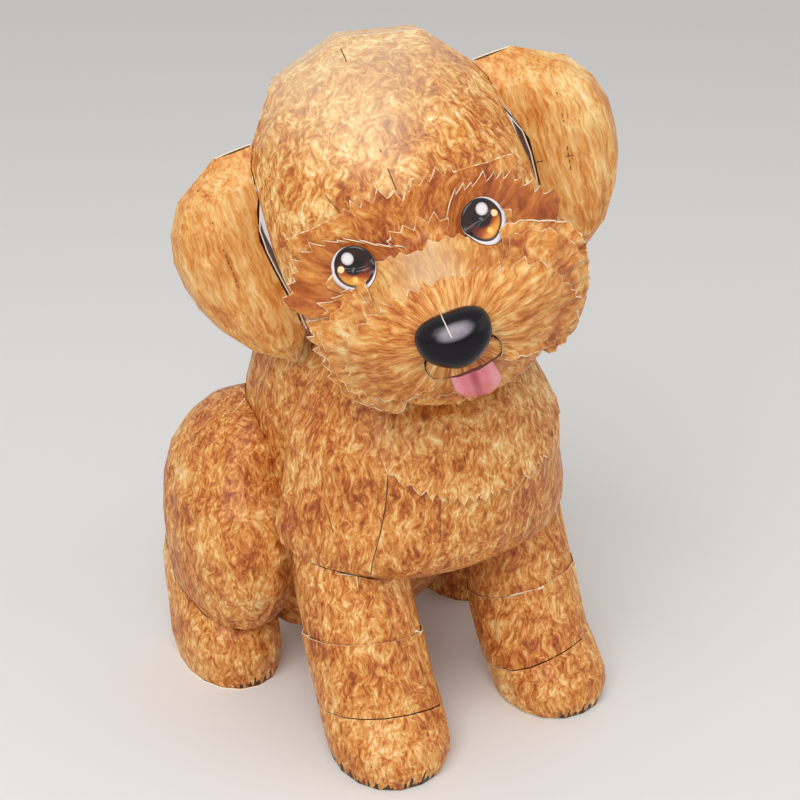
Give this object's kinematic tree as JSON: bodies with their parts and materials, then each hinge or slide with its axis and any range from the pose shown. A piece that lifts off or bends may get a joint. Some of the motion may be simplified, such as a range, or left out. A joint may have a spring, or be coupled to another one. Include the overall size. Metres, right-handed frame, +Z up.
{
  "type": "papercraft dog",
  "caption": "Sitting dog glued up from curly-fur printed card, with a tilted head, layered pinked muzzle, hanging ears and small tongue; a party or shelf decoration.",
  "frame": {"origin": "middle of the underside of the whole model's bounding box, level with the soles of the four feet", "axes": "+Z up; the dog faces -Y and its left side is +X; the head is turned and tilted to the dog's right"},
  "size_m": [0.126, 0.159, 0.2028],
  "materials": {
    "printed_fur": "printed card, satin",
    "printed_fur_dark": "printed card, satin",
    "printed_fur_pale": "printed card, satin",
    "ear_lining_card": "printed card, satin",
    "nose_card": "printed card, glossy",
    "eye_card": "printed card, glossy",
    "tongue_card": "printed card, satin",
    "mouth_card": "printed card, satin"
  },
  "bodies": {
    "root": {"back": "printed_fur", "neck": "printed_fur", "beard": "printed_fur", "chest": "printed_fur", "chin": "printed_fur", "ear_left": "printed_fur", "ear_right": "printed_fur", "head_back": "printed_fur", "hind_foot_left": "printed_fur", "hind_foot_right": "printed_fur", "paw_left": "printed_fur", "paw_right": "printed_fur", "shin_left": "printed_fur", "shin_right": "printed_fur", "shoulder_left": "printed_fur", "shoulder_right": "printed_fur", "tail": "printed_fur", "thigh_left": "printed_fur", "thigh_right": "printed_fur", "under_fringe_left": "printed_fur", "under_fringe_right": "printed_fur", "upper_leg_left": "printed_fur", "upper_leg_right": "printed_fur", "bridge_back": "printed_fur_dark", "brow": "printed_fur_dark", "eye_patch_left": "printed_fur_dark", "eye_patch_right": "printed_fur_dark", "hind_sole_left": "printed_fur_dark", "hind_sole_right": "printed_fur_dark", "sole_left": "printed_fur_dark", "sole_right": "printed_fur_dark", "bib": "printed_fur_pale", "bridge": "printed_fur_pale", "cheek_fringe_left": "printed_fur_pale", "cheek_fringe_right": "printed_fur_pale", "head_front": "printed_fur_pale", "lip": "printed_fur_pale", "muzzle_pad_left": "printed_fur_pale", "muzzle_pad_right": "printed_fur_pale", "nose_collar": "printed_fur_pale", "ear_lining_left": "ear_lining_card", "ear_lining_right": "ear_lining_card", "nose": "nose_card", "eye_left": "eye_card", "eye_right": "eye_card", "tongue": "tongue_card", "mouth_lining": "mouth_card"}
  },
  "joints": []
}
